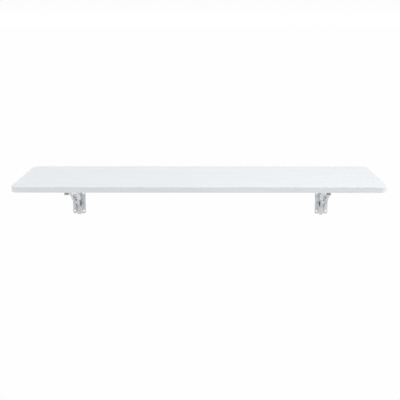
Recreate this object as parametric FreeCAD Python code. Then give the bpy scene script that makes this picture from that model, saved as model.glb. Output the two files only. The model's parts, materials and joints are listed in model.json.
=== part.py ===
import FreeCAD, Part
import math
import os

# A drop leaf table top that hangs on a wall on two folding brackets.
# Millimetres. X runs along the wall, the leaf reaches towards -Y, Z is up.
# The wall is the plane Y = 0. Z = 0 is the middle row of the wall holes.
# Places in a bracket are given as (out, height): out from the wall, height from the leaf's underside.

# Leaf
leaf_width = 1200.0
leaf_depth = 400.0
leaf_thickness = 18.0
leaf_corner_radius = 28.0
leaf_wall_gap = 3.0
laminate_thickness = 0.6
band_thickness = 1.0
band_edge_radius = 0.8

# Bracket sheet and layers, counted from the middle plane outwards
bracket_end_margin = 159.0
bracket_width = 46.0
sheet = 1.8
channel_depth = 16.5
link_half_inner = 3.8
layer_gap = 0.3
hinge_gap = 2.4
bend_radius = 1.2

# Wall plate
wall_hole_radius = 3.25
wall_hole_drop = 17.0
wall_hole_pitch = 65.0
wall_row_count = 3
wall_plate_top_gap = 4.0
wall_plate_end_margin = 10.0
wall_plate_corner_radius = 5.0
nub_half_width = 6.0
nub_reach = 4.0
nub_radius = 2.0

# Wall cheeks: deep at the foot and the hinge, with a shallow waist that the folded strut passes
cheek_depth = 14.5
cheek_waist = 7.0
cheek_boss_rise = 6.0
cheek_slope = 4.0
cheek_gusset_drop = 42.0
cheek_toe_radius = 3.0

# Top arm
top_arm_start = 6.0
top_arm_nose = 41.0
top_side_inset = 6.5
top_flange_radius = 6.0
top_gusset_out = 58.0
top_bridge_start = 92.0
top_bridge_strut_gap = 18.0
top_ear_depth = 21.0
top_ear_margin = 10.0
top_front_radius = 5.0
screw_back_margin = 24.0
screw_front_margin = 30.0
screw_row_count = 4
screw_hole_radius = 2.75

# Pivots
hinge_out = 22.0
hinge_drop = 22.0
hinge_ear_radius = 9.0
hinge_pin_radius = 4.0
foot_out = 9.0
foot_drop = 122.0
strut_out = 196.0
strut_drop = 13.0
lever_spacing = 18.0
lever_drop = 12.0
rivet_radius = 3.2
rivet_head_radius = 5.5
rivet_head_height = 1.8
hinge_head_radius = 6.8
hinge_head_height = 2.0
running_clearance = 0.05
side_clearance = 0.1

# Brace: a lower link from the wall cheeks' foot and a strut from the top arm, in line when the leaf is up
link_length = 71.0
link_half_height = 6.5
link_web_inset = 9.0
strut_half_height = 7.5
strut_web_start = 16.0
strut_web_margin = 8.0
strut_lip_gap = 0.6
strut_lip_margin = 6.0
knee_rivet_radius = 4.0
bush_wall = 1.4
knee_bush_wall = 2.7
washer_wall = 3.4

# Lock cam and release lever
cam_radius = 6.5
cam_half_width = 4.0
cam_notch_width = 3.0
cam_notch_depth = 1.5
cam_gap = 0.4
lever_half_thickness = 1.5
lever_hub_radius = 5.5
lever_nose_radius = 2.6
lever_arm_radius = 4.0
lever_tip_reach = 21.0
lever_tip_fall = 24.0
lever_tab_width = 16.0
lever_tab_length = 15.0
lever_tab_thickness = 2.2
lever_tab_fall_degrees = 24.0
lever_tab_corner_radius = 3.5
lever_pin_radius = 2.5
lever_spacer_wall = 1.4

# Lever spring
spring_wire_radius = 0.35
spring_pitch = 1.2
spring_turns = 2.0
spring_bore_gap = 0.4
spring_leg_length = 6.0

# Board screws
screw_shank_radius = 2.0
screw_shank_length = 13.0
screw_head_radius = 4.2
screw_head_height = 2.6
screw_head_round = 1.5
screw_recess_width = 1.0
screw_recess_length = 4.6
screw_recess_depth = 1.3
pilot_clearance = 0.02

# How closely an edge has to lie on a place to be found there
match_tolerance = 1e-4

# Derived places along the wall and out from it
bracket_offset = leaf_width / 2.0 - bracket_end_margin
lever_out = strut_out + lever_spacing
lever_tip = (lever_out + lever_tip_reach, -lever_drop - lever_tip_fall)
top_arm_end = lever_out + top_arm_nose
top_bridge_end = strut_out - top_bridge_strut_gap
screw_row_start = top_arm_start + screw_back_margin
screw_row_pitch = (top_arm_end - screw_front_margin - screw_row_start) / (screw_row_count - 1)

# Derived heights and layers
underside = wall_hole_drop + wall_hole_pitch * (wall_row_count - 1) / 2.0
link_half_outer = link_half_inner + sheet
top_inner = link_half_outer + layer_gap
top_outer = top_inner + sheet
wall_inner = top_outer + hinge_gap
wall_outer = wall_inner + sheet
strut_inner = wall_outer + layer_gap
strut_outer = strut_inner + sheet
flange_half = bracket_width / 2.0
hole_offset = (wall_inner + flange_half) / 2.0
wall_rows = [-wall_hole_drop - wall_hole_pitch * row for row in range(wall_row_count)]
wall_toe = wall_rows[-1]
screw_rows = [screw_row_start + screw_row_pitch * row for row in range(screw_row_count)]

# Derived pivots as (out, height)
hinge = (hinge_out, -hinge_drop)
foot = (foot_out, -foot_drop)
strut_root = (strut_out, -strut_drop)
lever_root = (lever_out, -lever_drop)
brace_length = math.hypot(strut_root[0] - foot[0], strut_root[1] - foot[1])
strut_length = brace_length - link_length
brace_direction = ((strut_root[0] - foot[0]) / brace_length, (strut_root[1] - foot[1]) / brace_length)
brace_normal = (-brace_direction[1], brace_direction[0])
knee = (foot[0] + brace_direction[0] * link_length, foot[1] + brace_direction[1] * link_length)


def side_point(place):
    # A place in a bracket's middle plane as a vector.
    return FreeCAD.Vector(0.0, -place[0], underside + place[1])


def along_brace(distance, rise):
    # A place measured from the strut's root towards the foot, with rise above the brace line.
    return (
        strut_root[0] - brace_direction[0] * distance + brace_normal[0] * rise,
        strut_root[1] - brace_direction[1] * distance + brace_normal[1] * rise,
    )


def rounded_face(points, radii, lift):
    # A flat face from corner points, each rounded by its radius. lift turns a flat point into a vector.
    flat = [FreeCAD.Vector(point[0], point[1], 0.0) for point in points]
    corners = []
    for index, corner in enumerate(flat):
        back = flat[index - 1] - corner
        ahead = flat[(index + 1) % len(flat)] - corner
        back.normalize()
        ahead.normalize()
        half_angle = math.acos(max(-1.0, min(1.0, back.dot(ahead)))) / 2.0
        radius = radii[index]
        cut = radius / math.tan(half_angle)
        bisector = back + ahead
        if radius > 0.0:
            bisector.normalize()
        middle = corner + bisector * (radius / math.sin(half_angle) - radius)
        corners.append((corner + back * cut, middle, corner + ahead * cut, radius))
    edges = []
    for index, (start, middle, end, radius) in enumerate(corners):
        if radius > 0.0:
            edges.append(Part.Arc(lift(start), lift(middle), lift(end)).toShape())
        following = corners[(index + 1) % len(corners)][0]
        if end.distanceToPoint(following) > match_tolerance:
            edges.append(Part.LineSegment(lift(end), lift(following)).toShape())
    return Part.Face(Part.Wire(edges))


def side_plate(x_low, x_high, points, radii=None):
    # A plate across X from an outline of (out, height) points.
    radii = radii or [0.0] * len(points)
    face = rounded_face(points, radii, lambda flat: FreeCAD.Vector(x_low, -flat.x, underside + flat.y))
    return face.extrude(FreeCAD.Vector(x_high - x_low, 0.0, 0.0))


def side_box(x_low, x_high, out_low, out_high, low, high):
    base = FreeCAD.Vector(x_low, -out_high, underside + low)
    return Part.makeBox(x_high - x_low, out_high - out_low, high - low, base)


def side_disc(x_low, x_high, place, radius):
    base = side_point(place) + FreeCAD.Vector(x_low, 0.0, 0.0)
    return Part.makeCylinder(radius, x_high - x_low, base, FreeCAD.Vector(1.0, 0.0, 0.0))


def side_ring(x_low, x_high, place, bore, radius):
    return side_disc(x_low, x_high, place, radius).cut(side_disc(x_low, x_high, place, bore))


def side_capsule(x_low, x_high, first, second, radius):
    # A plate with two straight edges and two round ends.
    length = math.hypot(second[0] - first[0], second[1] - first[1])
    ahead = ((second[0] - first[0]) / length * radius, (second[1] - first[1]) / length * radius)
    across = (-ahead[1], ahead[0])

    def corner(place, forward, sideways):
        flat = (
            place[0] + ahead[0] * forward + across[0] * sideways,
            place[1] + ahead[1] * forward + across[1] * sideways,
        )
        return side_point(flat) + FreeCAD.Vector(x_low, 0.0, 0.0)

    edges = [
        Part.LineSegment(corner(first, 0, 1), corner(second, 0, 1)).toShape(),
        Part.Arc(corner(second, 0, 1), corner(second, 1, 0), corner(second, 0, -1)).toShape(),
        Part.LineSegment(corner(second, 0, -1), corner(first, 0, -1)).toShape(),
        Part.Arc(corner(first, 0, -1), corner(first, -1, 0), corner(first, 0, 1)).toShape(),
    ]
    return Part.Face(Part.Wire(edges)).extrude(FreeCAD.Vector(x_high - x_low, 0.0, 0.0))


def mirrored_pair(make, inner, outer):
    # The same plate on both sides of the middle plane.
    return [make(inner, outer), make(-outer, -inner)]


def joined(shapes):
    return shapes[0].multiFuse(shapes[1:]).removeSplitter()


def tangent_place(outside, centre, radius, turn):
    # Where a line from outside touches a circle. turn is 1 or -1 for the two lines.
    reach = math.hypot(outside[0] - centre[0], outside[1] - centre[1])
    angle = math.atan2(outside[1] - centre[1], outside[0] - centre[0]) + turn * math.acos(radius / reach)
    return (centre[0] + radius * math.cos(angle), centre[1] + radius * math.sin(angle))


def long_edges(shape, direction, places):
    # Straight edges along a direction, on a line through one of the places (x, y, z).
    found = []
    for edge in shape.Edges:
        if not isinstance(edge.Curve, Part.Line):
            continue
        if abs(abs(edge.Curve.Direction.dot(direction)) - 1.0) > match_tolerance:
            continue
        start = edge.Vertexes[0].Point
        for x, y, z in places:
            offset = start - FreeCAD.Vector(x, y, z)
            if (offset - direction * offset.dot(direction)).Length < match_tolerance:
                found.append(edge)
    return found


def leaf_outline(inset, low, high):
    # The leaf's plan, drawn in by inset, as a slab between two heights above its underside.
    half = leaf_width / 2.0 - inset
    front = -leaf_wall_gap - leaf_depth + inset
    back = -leaf_wall_gap - inset
    corners = [(-half, front), (half, front), (half, back), (-half, back)]
    radius = leaf_corner_radius - inset
    face = rounded_face(corners, [radius] * 4, lambda flat: FreeCAD.Vector(flat.x, flat.y, underside + low))
    return face.extrude(FreeCAD.Vector(0.0, 0.0, high - low))


def screw_places(bracket_x):
    # The board screws of one bracket as (x, out).
    places = []
    for side in (-1.0, 1.0):
        for out in screw_rows:
            places.append((bracket_x + side * hole_offset, out))
    return places


def pilot_holes():
    radius = screw_shank_radius + pilot_clearance
    holes = []
    for bracket_x in (-bracket_offset, bracket_offset):
        for x, out in screw_places(bracket_x):
            base = FreeCAD.Vector(x, -out, underside)
            holes.append(Part.makeCylinder(radius, screw_shank_length, base))
    return Part.makeCompound(holes)


def edge_band():
    # A ring round the board, with its outer edges rounded above and below.
    ring = leaf_outline(0.0, 0.0, leaf_thickness).cut(leaf_outline(band_thickness, 0.0, leaf_thickness))
    half = leaf_width / 2.0 - match_tolerance
    front = -leaf_wall_gap - leaf_depth + match_tolerance
    back = -leaf_wall_gap - match_tolerance
    outer = []
    for edge in ring.Edges:
        box = edge.BoundBox
        at_end = max(abs(box.XMin), abs(box.XMax)) > half
        at_front_or_back = box.YMin < front or box.YMax > back
        if box.ZLength < match_tolerance and (at_end or at_front_or_back):
            outer.append(edge)
    return ring.makeFillet(band_edge_radius, outer)


def leaf_pieces():
    holes = pilot_holes()
    low = laminate_thickness
    high = leaf_thickness - laminate_thickness
    return {
        "leaf_core": leaf_outline(band_thickness, low, high).cut(holes),
        "leaf_top_laminate": leaf_outline(band_thickness, high, leaf_thickness),
        "leaf_bottom_laminate": leaf_outline(band_thickness, 0.0, low).cut(holes),
        "leaf_edge_band": edge_band(),
    }


def wall_plate():
    # A flat plate on the wall with two columns of screw holes and a nub below its end.
    low = wall_toe - wall_plate_end_margin
    nub_end = low - nub_reach
    high = -wall_plate_top_gap
    corners = [
        (-flange_half, low),
        (-nub_half_width, low),
        (-nub_half_width, nub_end),
        (nub_half_width, nub_end),
        (nub_half_width, low),
        (flange_half, low),
        (flange_half, high),
        (-flange_half, high),
    ]
    plate_radius = wall_plate_corner_radius
    radii = [plate_radius, 0.0, nub_radius, nub_radius, 0.0, plate_radius, plate_radius, plate_radius]
    face = rounded_face(corners, radii, lambda flat: FreeCAD.Vector(flat.x, 0.0, underside + flat.y))
    plate = face.extrude(FreeCAD.Vector(0.0, -sheet, 0.0))
    holes = []
    for row in wall_rows:
        for side in (-1.0, 1.0):
            base = FreeCAD.Vector(side * hole_offset, 0.0, underside + row)
            holes.append(Part.makeCylinder(wall_hole_radius, sheet, base, FreeCAD.Vector(0.0, -1.0, 0.0)))
    return plate.cut(Part.makeCompound(holes))


def wall_cheeks():
    # Two cheeks on the plate, each with a hinge ear at the top and a boss at the foot.
    waist_end = (cheek_waist, -cheek_gusset_drop)
    boss_top = cheek_boss_rise - foot_drop
    crown = hinge[1] + hinge_ear_radius
    outline = [
        (sheet, wall_toe),
        (cheek_depth, wall_toe),
        (cheek_depth, boss_top),
        (cheek_waist, boss_top + cheek_slope),
        waist_end,
        tangent_place(waist_end, hinge, hinge_ear_radius, 1),
        hinge,
        (hinge[0], crown),
        (sheet, crown),
    ]
    radii = [0.0] * len(outline)
    radii[1] = cheek_toe_radius

    def cheek(low, high):
        plate = joined([side_plate(low, high, outline, radii), side_disc(low, high, hinge, hinge_ear_radius)])
        plate = plate.cut(side_disc(low, high, hinge, hinge_pin_radius + running_clearance))
        return plate.cut(side_disc(low, high, foot, rivet_radius + running_clearance))

    return Part.makeCompound(mirrored_pair(cheek, wall_inner, wall_outer))


def top_arm():
    # Two sides with hinge ears and deeper ears for the strut and lever, two flanges, and one bridge.
    touch = tangent_place((top_gusset_out, -channel_depth), hinge, hinge_ear_radius, -1)
    ear_start = strut_out - top_ear_margin
    ear_end = lever_out + top_ear_margin
    slope = top_ear_depth - channel_depth
    outline = [
        (top_arm_start + top_side_inset, 0.0),
        (hinge[0] - hinge_ear_radius, hinge[1]),
        hinge,
        touch,
        (top_gusset_out, -channel_depth),
        (ear_start - slope, -channel_depth),
        (ear_start, -top_ear_depth),
        (ear_end, -top_ear_depth),
        (ear_end + slope, -channel_depth),
        (top_arm_end - top_side_inset, -channel_depth),
        (top_arm_end - top_side_inset, 0.0),
    ]
    radii = [0.0] * len(outline)
    radii[-2] = top_front_radius
    flange_radii = [top_flange_radius] * 4
    pieces = []
    for inner, outer in ((top_inner, top_outer), (-top_outer, -top_inner)):
        pieces.append(side_plate(inner, outer, outline, radii))
        pieces.append(side_disc(inner, outer, hinge, hinge_ear_radius))
    for inner, outer in ((top_inner, flange_half), (-flange_half, -top_inner)):
        corners = [
            (inner, -top_arm_end),
            (outer, -top_arm_end),
            (outer, -top_arm_start),
            (inner, -top_arm_start),
        ]
        face = rounded_face(corners, flange_radii, lambda flat: FreeCAD.Vector(flat.x, flat.y, underside))
        pieces.append(face.extrude(FreeCAD.Vector(0.0, 0.0, -sheet)))
    low = -channel_depth
    pieces.append(side_box(-top_inner, top_inner, top_bridge_start, top_bridge_end, low, low + sheet))
    arm = joined(pieces)
    bends = [(top_outer, 0.0, underside - sheet), (-top_outer, 0.0, underside - sheet)]
    arm = arm.makeFillet(bend_radius, long_edges(arm, FreeCAD.Vector(0.0, 1.0, 0.0), bends))
    cuts = []
    for out in screw_rows:
        for side in (-1.0, 1.0):
            base = FreeCAD.Vector(side * hole_offset, -out, underside - sheet)
            cuts.append(Part.makeCylinder(screw_hole_radius, sheet, base))
    cuts.append(side_disc(-top_outer, top_outer, hinge, hinge_pin_radius + running_clearance))
    cuts.append(side_disc(-top_outer, top_outer, strut_root, rivet_radius + running_clearance))
    cuts.append(side_disc(-top_outer, top_outer, lever_root, lever_pin_radius + running_clearance))
    return arm.cut(Part.makeCompound(cuts))


def headed_pin(place, radius, reach, head_radius, head_height):
    # A pin with a round head at each end, outside the layer that ends at reach.
    # The outer half of each head's height is rounded off.
    shoulder = reach + side_clearance
    tip = shoulder + head_height
    shank = side_disc(-shoulder, shoulder, place, radius)
    heads = []
    for side in (-1.0, 1.0):
        base = side_point(place) + FreeCAD.Vector(side * shoulder, 0.0, 0.0)
        axis = FreeCAD.Vector(side, 0.0, 0.0)
        head = Part.makeCylinder(head_radius, head_height, base, axis)
        crown = [edge for edge in head.Edges if abs(edge.CenterOfMass.x) > tip - match_tolerance]
        heads.append(head.makeFillet(head_height / 2.0, crown))
    return joined([shank] + heads)


def paired_rings(place, inner, outer, pin_radius, wall):
    # A spacer ring on each side of the middle plane, clear of the plates beside it.
    bore = pin_radius + running_clearance
    low = inner + side_clearance
    high = outer - side_clearance
    rings = [side_ring(low, high, place, bore, bore + wall), side_ring(-high, -low, place, bore, bore + wall)]
    return Part.makeCompound(rings)


def brace_strip(x_low, x_high, start, end, rise):
    # A strip of sheet along the brace, from start to end as along_brace counts, with its lower face at rise.
    corners = [
        along_brace(start, rise),
        along_brace(end, rise),
        along_brace(end, rise + sheet),
        along_brace(start, rise + sheet),
    ]
    return side_plate(x_low, x_high, corners)


def lower_link():
    # A narrow channel from the foot to the knee, open on top, with a rolled end at the foot.
    pieces = mirrored_pair(
        lambda low, high: side_capsule(low, high, foot, knee, link_half_height),
        link_half_inner,
        link_half_outer,
    )
    near = strut_length + link_web_inset
    pieces.append(brace_strip(-link_half_outer, link_half_outer, near, brace_length, -link_half_height))
    pieces.append(
        side_ring(-link_half_outer, link_half_outer, foot, link_half_height - sheet, link_half_height)
    )
    bore = rivet_radius + running_clearance
    cuts = [
        side_disc(-link_half_outer, link_half_outer, foot, bore),
        side_disc(-link_half_outer, link_half_outer, knee, bore),
    ]
    return joined(pieces).cut(Part.makeCompound(cuts))


def strut():
    # Two sides from the top arm to the knee, outside the wall cheeks, with a web below them near the root.
    # Past the web two lips go on towards the knee, and the lower link folds in between them.
    web_end = strut_length - link_length - link_half_height - strut_web_margin
    lip_end = strut_length - strut_lip_margin
    pieces = mirrored_pair(
        lambda low, high: side_capsule(low, high, strut_root, knee, strut_half_height),
        strut_inner,
        strut_outer,
    )
    pieces.append(brace_strip(-strut_outer, strut_outer, strut_web_start, web_end, -strut_half_height))
    pieces += mirrored_pair(
        lambda low, high: brace_strip(low, high, web_end, lip_end, -strut_half_height),
        link_half_outer + strut_lip_gap,
        strut_outer,
    )
    cuts = [
        side_disc(-strut_outer, strut_outer, strut_root, rivet_radius + running_clearance),
        side_disc(-strut_outer, strut_outer, knee, knee_rivet_radius + running_clearance),
    ]
    return joined(pieces).cut(Part.makeCompound(cuts))


def knee_rivets():
    # Flush rivet ends in the strut's two sides. The pin between them belongs to the lower link.
    ends = mirrored_pair(
        lambda low, high: side_disc(low, high, knee, knee_rivet_radius), strut_inner, strut_outer
    )
    return Part.makeCompound(ends)


def lock_cam():
    cam = side_ring(-cam_half_width, cam_half_width, strut_root, rivet_radius + running_clearance, cam_radius)
    notch = side_box(
        -cam_half_width,
        cam_half_width,
        strut_out + cam_radius - cam_notch_depth,
        strut_out + cam_radius,
        -strut_drop - cam_notch_width / 2.0,
        cam_notch_width / 2.0 - strut_drop,
    )
    return cam.cut(notch)


def release_lever():
    # A hub on the lever pin, a nose towards the cam, and an arm with a finger tab bent to the left.
    tip = lever_tip
    half = lever_half_thickness
    span = math.hypot(lever_root[0] - strut_root[0], lever_root[1] - strut_root[1])
    share = (cam_radius + cam_gap + lever_nose_radius) / span
    nose = (
        strut_root[0] + (lever_root[0] - strut_root[0]) * share,
        strut_root[1] + (lever_root[1] - strut_root[1]) * share,
    )
    plate = [
        side_disc(-half, half, lever_root, lever_hub_radius),
        side_capsule(-half, half, lever_root, nose, lever_nose_radius),
        side_capsule(-half, half, lever_root, tip, lever_arm_radius),
    ]
    fall = math.radians(lever_tab_fall_degrees)
    ahead = (math.cos(fall), -math.sin(fall))
    down = (-math.sin(fall), -math.cos(fall))
    start = (tip[0] - ahead[0] * lever_tab_length / 2.0, tip[1] - ahead[1] * lever_tab_length / 2.0)

    def tab_point(flat):
        out = start[0] + ahead[0] * flat.y
        height = start[1] + ahead[1] * flat.y
        return FreeCAD.Vector(flat.x, -out, underside + height)

    corners = [
        (half - lever_tab_width, 0.0),
        (half, 0.0),
        (half, lever_tab_length),
        (half - lever_tab_width, lever_tab_length),
    ]
    radii = [lever_tab_corner_radius, 0.0, lever_tab_corner_radius, lever_tab_corner_radius]
    face = rounded_face(corners, radii, tab_point)
    thickness = FreeCAD.Vector(0.0, -down[0], down[1]) * lever_tab_thickness
    plate.append(face.extrude(thickness))
    bore = side_disc(-half, half, lever_root, lever_pin_radius + running_clearance)
    return joined(plate).cut(bore)


def lever_spacer():
    bore = lever_pin_radius + running_clearance
    low = side_clearance - top_inner
    high = -lever_half_thickness - side_clearance
    return side_ring(low, high, lever_root, bore, bore + lever_spacer_wall)


def lever_spring():
    # A coil round the lever pin, with a straight leg at each end.
    radius = lever_pin_radius + spring_bore_gap + spring_wire_radius
    coil = Part.makeHelix(spring_pitch, spring_pitch * spring_turns, radius).Edges[0]
    start = coil.valueAt(coil.FirstParameter)
    end = coil.valueAt(coil.LastParameter)
    start_run = coil.tangentAt(coil.FirstParameter)
    end_run = coil.tangentAt(coil.LastParameter)
    first_leg = Part.makeLine(start - start_run * spring_leg_length, start)
    last_leg = Part.makeLine(end, end + end_run * spring_leg_length)
    path = Part.Wire([first_leg, coil, last_leg])
    section = Part.Wire(Part.makeCircle(spring_wire_radius, first_leg.Vertexes[0].Point, start_run))
    wire = path.makePipeShell([section], True, False)
    lead = spring_pitch / (2.0 * math.pi * radius) * spring_leg_length
    seat = lever_half_thickness + side_clearance + spring_wire_radius + lead
    turn = FreeCAD.Rotation(FreeCAD.Vector(0.0, 0.0, 1.0), FreeCAD.Vector(1.0, 0.0, 0.0))
    place = side_point(lever_root) + FreeCAD.Vector(seat, 0.0, 0.0)
    wire.Placement = FreeCAD.Placement(place, turn)
    return Part.makeSolid(wire) if wire.ShapeType == "Shell" else wire


def board_screws(bracket_x):
    # Pan head screws up through the top arm's flanges into the leaf.
    screws = []
    seat = underside - sheet
    recess_sides = (screw_recess_width, screw_recess_length)
    for x, out in screw_places(bracket_x):
        shank_base = FreeCAD.Vector(x, -out, seat)
        shank = Part.makeCylinder(screw_shank_radius, screw_shank_length + sheet, shank_base)
        base = FreeCAD.Vector(x, -out, seat - screw_head_height)
        head = Part.makeCylinder(screw_head_radius, screw_head_height, base)
        rim = [edge for edge in head.Edges if abs(edge.CenterOfMass.z - base.z) < match_tolerance]
        head = head.makeFillet(screw_head_round, rim)
        for width, length in (recess_sides, recess_sides[::-1]):
            corner = base - FreeCAD.Vector(width / 2.0, length / 2.0, 0.0)
            head = head.cut(Part.makeBox(width, length, screw_recess_depth, corner))
        screws.append(joined([shank, head]))
    return Part.makeCompound(screws)


def bracket_pieces():
    # Every piece of one bracket but its board screws, with its middle plane at X = 0.
    knee_reach = strut_inner - side_clearance
    rivet_head = (rivet_head_radius, rivet_head_height)
    return {
        "wall_plate": wall_plate(),
        "wall_cheeks": wall_cheeks(),
        "top_arm": top_arm(),
        "hinge_pin": headed_pin(hinge, hinge_pin_radius, wall_outer, hinge_head_radius, hinge_head_height),
        "hinge_washers": paired_rings(hinge, top_outer, wall_inner, hinge_pin_radius, washer_wall),
        "lower_link": lower_link(),
        "foot_rivet": headed_pin(foot, rivet_radius, wall_outer, *rivet_head),
        "foot_bushes": paired_rings(foot, link_half_outer, wall_inner, rivet_radius, bush_wall),
        "strut": strut(),
        "strut_rivet": headed_pin(strut_root, rivet_radius, strut_outer, *rivet_head),
        "strut_bushes": paired_rings(strut_root, top_outer, strut_inner, rivet_radius, bush_wall),
        "lock_cam": lock_cam(),
        "knee_pin": side_disc(-knee_reach, knee_reach, knee, rivet_radius),
        "knee_bushes": paired_rings(knee, link_half_outer, strut_inner, rivet_radius, knee_bush_wall),
        "knee_rivets": knee_rivets(),
        "release_lever": release_lever(),
        "lever_pin": side_disc(-top_outer, top_outer, lever_root, lever_pin_radius),
        "lever_spacer": lever_spacer(),
        "lever_spring": lever_spring(),
    }


def main():
    os.makedirs("parts", exist_ok=True)
    nodes = leaf_pieces()
    pieces = bracket_pieces()
    for side, x in (("left", -bracket_offset), ("right", bracket_offset)):
        for name, shape in pieces.items():
            nodes[side + "_" + name] = shape.translated(FreeCAD.Vector(x, 0.0, 0.0))
        nodes[side + "_board_screws"] = board_screws(x)
    for name, shape in nodes.items():
        shape.exportStep("parts/" + name + ".step")
        state = "valid" if shape.isValid() else "INVALID"
        print(name, len(shape.Solids), "solids", round(shape.Volume, 1), "mm3", state)


main()
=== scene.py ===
import json
import math

import bpy
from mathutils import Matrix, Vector


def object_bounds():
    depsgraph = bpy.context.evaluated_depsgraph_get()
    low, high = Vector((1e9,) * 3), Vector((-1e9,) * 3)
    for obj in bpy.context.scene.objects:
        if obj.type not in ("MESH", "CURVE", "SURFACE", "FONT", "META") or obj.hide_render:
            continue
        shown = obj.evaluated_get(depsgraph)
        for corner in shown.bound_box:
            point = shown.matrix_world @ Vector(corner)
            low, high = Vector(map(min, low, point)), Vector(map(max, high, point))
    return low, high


# A wall mounted drop leaf table: a white wood-grain board on two folding steel brackets.
# Metres. X runs along the wall, the leaf reaches towards -Y, Z is up.

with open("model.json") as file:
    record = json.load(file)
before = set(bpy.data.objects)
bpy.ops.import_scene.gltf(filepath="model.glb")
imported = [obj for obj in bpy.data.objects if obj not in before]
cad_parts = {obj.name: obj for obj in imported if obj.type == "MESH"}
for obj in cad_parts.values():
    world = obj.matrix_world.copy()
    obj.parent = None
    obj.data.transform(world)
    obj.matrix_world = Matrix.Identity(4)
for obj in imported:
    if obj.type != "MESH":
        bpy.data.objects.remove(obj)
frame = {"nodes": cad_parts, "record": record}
cad_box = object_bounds()

# Camera, fitted to the board's edges and the brackets' places in the image
camera_place = (0.0328, -3.1263, 0.6268)
camera_pitch_degrees = 11.779
camera_yaw_degrees = 0.592
camera_roll_degrees = 0.065
camera_lens = 78.82
sensor_width = 36.0
camera_reach = 400.0
# An unturned camera looks straight down, and this turn levels it
camera_level_degrees = 90.0

# Stage and sky
floor_drop = 0.83
floor_half_width = 150.0
floor_glow = 0.99
sky_at_horizon = 1.0
sky_overhead = 0.56
sky_fade_height = 0.3

# Lights. Each end light has its side along X and its power
overhead_strength = 1.42
overhead_spread_degrees = 70.0
overhead_tilt_degrees = (-8.0, 14.0, 0.0)
upper_light_place = (0.6, -0.5, 1.2)
upper_light_size = 1.2
upper_light_power = 2.8
front_light_place = (1.5, -4.5, -0.3)
front_light_size = 1.0
front_light_power = 2.0
end_light_reach = 1.5
end_light_lead = 0.04
end_light_size = 0.4
end_lights = {"left_end": (-1.0, 0.4), "right_end": (1.0, 1.3)}

# Colours as linear red, green, blue
white = (1.0, 1.0, 1.0)
black = (0.0, 0.0, 0.0)
laminate_pale = (0.808, 0.836, 0.863)
laminate_deep = (0.741, 0.771, 0.800)
band_pale = (0.788, 0.813, 0.840)
band_deep = (0.722, 0.750, 0.779)
core_pale = (0.62, 0.47, 0.29)
core_deep = (0.33, 0.22, 0.12)
steel_pale = (0.70, 0.715, 0.73)
steel_deep = (0.55, 0.567, 0.583)
lever_pale = (0.68, 0.69, 0.70)
lever_deep = (0.50, 0.51, 0.52)
pin_pale = (0.74, 0.75, 0.76)
pin_deep = (0.62, 0.63, 0.64)
spring_pale = (0.34, 0.34, 0.35)
spring_deep = (0.22, 0.22, 0.23)
zinc_pale = (0.63, 0.65, 0.68)
zinc_deep = (0.48, 0.50, 0.53)
nylon_pale = (0.82, 0.81, 0.77)
nylon_deep = (0.72, 0.71, 0.66)
# Foot pivot bushes: real parts, but their near-black colour is painted shade for the shaded gaps beside
# the link at the foot
painted_shade_nylon_pale = (0.15, 0.15, 0.155)
painted_shade_nylon_deep = (0.10, 0.10, 0.104)

# Textures. The scale is along X, Y and Z, and a small one draws the texture out that way
figure_noise = {"scale": (2.2, 16.0, 16.0), "detail": 3.0, "distortion": 1.2}
streak_noise = {"scale": (11.0, 120.0, 120.0), "detail": 4.0, "distortion": 0.4}
pore_noise = {"scale": (60.0, 1500.0, 1500.0), "detail": 2.0}
fibre_noise = {"scale": (300.0, 300.0, 300.0), "detail": 4.0}
plating_noise = {"scale": (26.0, 26.0, 26.0), "detail": 5.0, "distortion": 0.6}
sheet_brush = {"scale": (900.0, 40.0, 40.0), "detail": 3.0}
turned_brush = {"scale": (900.0, 200.0, 200.0), "detail": 3.0}
mottle_noise = {"scale": (180.0, 180.0, 180.0), "detail": 3.0}
moulding_noise = {"scale": (900.0, 900.0, 900.0), "detail": 2.0}
chip_scale = (240.0, 240.0, 420.0)

# Layers of a texture: the lowest and highest value used, and the layer's share
figure_layer = (0.35, 0.65, 0.42)
streak_layer = (0.40, 0.62, 0.38)
pore_layer = (0.34, 0.46, 0.30)
plating_layer = (0.3, 0.7, 0.6)
brush_layer = (0.3, 0.7, 0.4)

# Roughness at the low and the high end of a texture, and the values of the texture taken as its ends
roughness_ends = (0.3, 0.7)
laminate_roughness = (0.52, 0.40)
core_roughness = (0.85, 0.95)
sheet_roughness = (0.52, 0.38)
turned_roughness = (0.42, 0.28)
screw_roughness = (0.36, 0.22)
nylon_roughness = (0.42, 0.55)

# Relief: its depth, and how strongly it shows
grain_relief = (0.00012, 0.35)
chip_relief = (0.0003, 0.5)
brush_relief = (0.00003, 0.3)
moulding_relief = (0.00003, 0.3)

# Shine of the laminate. Plating is duller where its metal share is below 1
laminate_shine = 0.4
full_metal = 1.0
pin_metal = 0.85
sheet_metal = 0.75

# Share of light that goes inside nylon, and how far
washer_glow = 0.15
painted_shade_nylon_glow = 0.0
glow_reach = 0.002


def solid(colour):
    # The colour with full cover, as sockets take it.
    return (*colour, 1.0)


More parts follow.
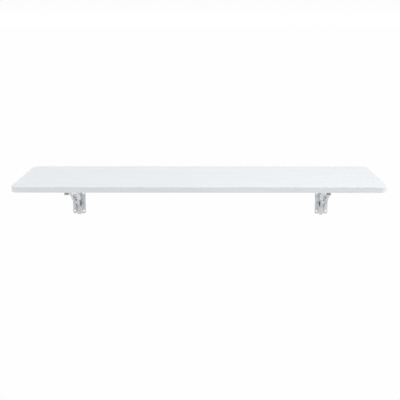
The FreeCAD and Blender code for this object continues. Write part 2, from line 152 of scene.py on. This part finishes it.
class Surface:
    # A new material with its shader, and short calls for the nodes that the finishes share.

    def __init__(self, name):
        self.material = bpy.data.materials.new(name)
        self.material.use_nodes = True
        self.tree = self.material.node_tree
        self.shader = self.tree.nodes["Principled BSDF"]
        self.place = self.node("ShaderNodeTexCoord").outputs["Object"]

    def node(self, kind):
        return self.tree.nodes.new(kind)

    def link(self, source, target):
        self.tree.links.new(source, target)

    def set(self, **values):
        for name, value in values.items():
            self.shader.inputs[name.replace("_", " ")].default_value = value

    def texture(self, kind, scale):
        # A texture whose scale is given along X, Y and Z, so that it can be stretched into grain.
        mapping = self.node("ShaderNodeMapping")
        mapping.inputs["Scale"].default_value = scale
        self.link(self.place, mapping.inputs["Vector"])
        texture = self.node(kind)
        texture.inputs["Scale"].default_value = 1.0
        self.link(mapping.outputs["Vector"], texture.inputs["Vector"])
        return texture

    def noise(self, scale, detail, distortion=0.0):
        noise = self.texture("ShaderNodeTexNoise", scale)
        noise.inputs["Detail"].default_value = detail
        noise.inputs["Distortion"].default_value = distortion
        return noise.outputs["Fac"]

    def cells(self, scale):
        # One value for each chip of a broken-up surface.
        return self.texture("ShaderNodeTexVoronoi", scale).outputs["Color"]

    def spread(self, source, low, high, to_low, to_high):
        # Stretches the values from low to high over a new range, and holds them there.
        spread = self.node("ShaderNodeMapRange")
        spread.inputs["From Min"].default_value = low
        spread.inputs["From Max"].default_value = high
        spread.inputs["To Min"].default_value = to_low
        spread.inputs["To Max"].default_value = to_high
        self.link(source, spread.inputs["Value"])
        return spread.outputs["Result"]

    def layer(self, source, low, high, share):
        return self.spread(source, low, high, 0.0, share)

    def total(self, first, second):
        add = self.node("ShaderNodeMath")
        add.operation = "ADD"
        self.link(first, add.inputs[0])
        self.link(second, add.inputs[1])
        return add.outputs["Value"]

    def tint(self, source, deep, pale):
        # The colour between deep and pale that the source picks.
        mix = self.node("ShaderNodeMix")
        mix.data_type = "RGBA"
        colours = [socket for socket in mix.inputs if socket.type == "RGBA"]
        colours[0].default_value = solid(deep)
        colours[1].default_value = solid(pale)
        self.link(source, mix.inputs["Factor"])
        result = [socket for socket in mix.outputs if socket.type == "RGBA"][0]
        self.link(result, self.shader.inputs["Base Color"])

    def rough(self, source, at_low, at_high):
        roughness = self.spread(source, *roughness_ends, at_low, at_high)
        self.link(roughness, self.shader.inputs["Roughness"])

    def bump(self, source, depth, strength):
        bump = self.node("ShaderNodeBump")
        bump.inputs["Distance"].default_value = depth
        bump.inputs["Strength"].default_value = strength
        self.link(source, bump.inputs["Height"])
        self.link(bump.outputs["Normal"], self.shader.inputs["Normal"])


def laminate(name, deep, pale):
    # Satin white laminate with faint grain along the board: broad figure, short streaks and fine pores.
    surface = Surface(name)
    figure = surface.layer(surface.noise(**figure_noise), *figure_layer)
    streaks = surface.layer(surface.noise(**streak_noise), *streak_layer)
    pores = surface.layer(surface.noise(**pore_noise), *pore_layer)
    grain = surface.total(surface.total(figure, streaks), pores)
    surface.tint(grain, deep, pale)
    surface.rough(grain, *laminate_roughness)
    surface.bump(grain, *grain_relief)
    surface.set(Specular_IOR_Level=laminate_shine)
    return surface.material


def particle_board(name):
    # Pressed chips of pale and dark wood.
    surface = Surface(name)
    chips = surface.cells(chip_scale)
    surface.tint(chips, core_deep, core_pale)
    surface.rough(surface.noise(**fibre_noise), *core_roughness)
    surface.bump(chips, *chip_relief)
    return surface.material


def plated_metal(name, deep, pale, brush, roughness, metal):
    # Cloudy plating with fine lines, drawn out in the directions where the brush's scale is small.
    surface = Surface(name)
    clouds = surface.noise(**plating_noise)
    lines = surface.noise(**brush)
    cloud_layer = surface.layer(clouds, *plating_layer)
    line_layer = surface.layer(lines, *brush_layer)
    plating = surface.total(cloud_layer, line_layer)
    surface.tint(plating, deep, pale)
    surface.rough(plating, *roughness)
    surface.bump(lines, *brush_relief)
    surface.set(Metallic=metal)
    return surface.material


def sheet_steel(name, deep, pale):
    return plated_metal(name, deep, pale, sheet_brush, sheet_roughness, sheet_metal)


def turned_metal(name, deep, pale, roughness, metal=full_metal):
    return plated_metal(name, deep, pale, turned_brush, roughness, metal)


def nylon(name, deep, pale, glow):
    # Moulded nylon. glow is the share of light that goes inside.
    surface = Surface(name)
    mottle = surface.noise(**mottle_noise)
    surface.tint(mottle, deep, pale)
    surface.rough(mottle, *nylon_roughness)
    surface.bump(surface.noise(**moulding_noise), *moulding_relief)
    surface.set(Subsurface_Weight=glow, Subsurface_Scale=glow_reach)
    return surface.material


def dress_nodes():
    # Every CAD node takes the finish of its material slot.
    finishes = {
        "board_core": particle_board("board_core"),
        "white_laminate": laminate("white_laminate", laminate_deep, laminate_pale),
        "edge_band": laminate("edge_band", band_deep, band_pale),
        "bracket_steel": sheet_steel("bracket_steel", steel_deep, steel_pale),
        "lever_steel": sheet_steel("lever_steel", lever_deep, lever_pale),
        "pin_steel": turned_metal("pin_steel", pin_deep, pin_pale, turned_roughness, pin_metal),
        "spring_steel": turned_metal("spring_steel", spring_deep, spring_pale, turned_roughness),
        "screw_zinc": turned_metal("screw_zinc", zinc_deep, zinc_pale, screw_roughness),
        "washer_nylon": nylon("washer_nylon", nylon_deep, nylon_pale, washer_glow),
        # The foot bushes' near-black nylon is painted shade, standing in for the shaded gaps beside the
        # link at the foot pivot
        "dark_nylon": nylon("dark_nylon", painted_shade_nylon_deep, painted_shade_nylon_pale, painted_shade_nylon_glow),
    }
    for row in frame["record"]["subparts"]:
        piece = frame["nodes"][row["node"]]
        finish = finishes[row["material_slot"]]
        if not piece.material_slots:
            piece.data.materials.append(finish)
        for slot in piece.material_slots:
            slot.material = finish


def add_object(name, data):
    # A new object, linked into the scene.
    added = bpy.data.objects.new(name, data)
    bpy.context.scene.collection.objects.link(added)
    return added


def in_radians(angles):
    return [math.radians(angle) for angle in angles]


def make_floor():
    # An evenly lit white floor, far enough below the leaf to stay clear of its folded end.
    surface = Surface("floor")
    surface.set(Base_Color=solid(black), Roughness=1.0, Specular_IOR_Level=0.0)
    surface.set(Emission_Color=solid(white), Emission_Strength=floor_glow)
    mesh = bpy.data.meshes.new("floor")
    half = floor_half_width
    corners = [(-half, -half, 0.0), (half, -half, 0.0), (half, half, 0.0), (-half, half, 0.0)]
    mesh.from_pydata(corners, [], [(0, 1, 2, 3)])
    mesh.materials.append(surface.material)
    floor = add_object("floor", mesh)
    floor.location.z = cad_box[0].z - floor_drop


def make_sky():
    # White at the horizon, softer overhead.
    world = bpy.data.worlds.new("sky")
    world.use_nodes = True
    bpy.context.scene.world = world
    nodes = world.node_tree.nodes
    links = world.node_tree.links
    direction = nodes.new("ShaderNodeTexCoord")
    parts = nodes.new("ShaderNodeSeparateXYZ")
    fade = nodes.new("ShaderNodeMapRange")
    fade.inputs["From Min"].default_value = 0.0
    fade.inputs["From Max"].default_value = sky_fade_height
    fade.inputs["To Min"].default_value = sky_at_horizon
    fade.inputs["To Max"].default_value = sky_overhead
    links.new(direction.outputs["Generated"], parts.inputs["Vector"])
    links.new(parts.outputs["Z"], fade.inputs["Value"])
    links.new(fade.outputs["Result"], nodes["Background"].inputs["Strength"])
    nodes["Background"].inputs["Color"].default_value = solid(white)


def panel_light(name, place, target, size, power):
    # A square panel that faces the target.
    panel = bpy.data.lights.new(name, "AREA")
    panel.energy = power
    panel.size = size
    lamp = add_object(name, panel)
    lamp.location = place
    lamp.rotation_euler = (target - Vector(place)).to_track_quat("-Z", "Y").to_euler()


def make_lights():
    # A soft light overhead, a panel above, one low in front on the right, and a weak one at each end.
    overhead = bpy.data.lights.new("overhead", "SUN")
    overhead.energy = overhead_strength
    overhead.angle = math.radians(overhead_spread_degrees)
    lamp = add_object("overhead", overhead)
    lamp.rotation_euler = in_radians(overhead_tilt_degrees)
    middle = (cad_box[0] + cad_box[1]) / 2.0
    panel_light("upper", upper_light_place, middle, upper_light_size, upper_light_power)
    panel_light("front_right", front_light_place, middle, front_light_size, front_light_power)
    for name, (side, power) in end_lights.items():
        place = (side * end_light_reach, cad_box[0].y - end_light_lead, middle.z)
        panel_light(name, place, middle, end_light_size, power)


def make_camera():
    lens = bpy.data.cameras.new("camera")
    lens.lens = camera_lens
    lens.sensor_width = sensor_width
    lens.clip_end = camera_reach
    camera = add_object("camera", lens)
    camera.location = camera_place
    turn = (camera_level_degrees - camera_pitch_degrees, camera_roll_degrees, camera_yaw_degrees)
    camera.rotation_euler = in_radians(turn)
    bpy.context.scene.camera = camera


dress_nodes()
make_floor()
make_sky()
make_lights()
make_camera()
bpy.context.scene.view_settings.view_transform = "Standard"
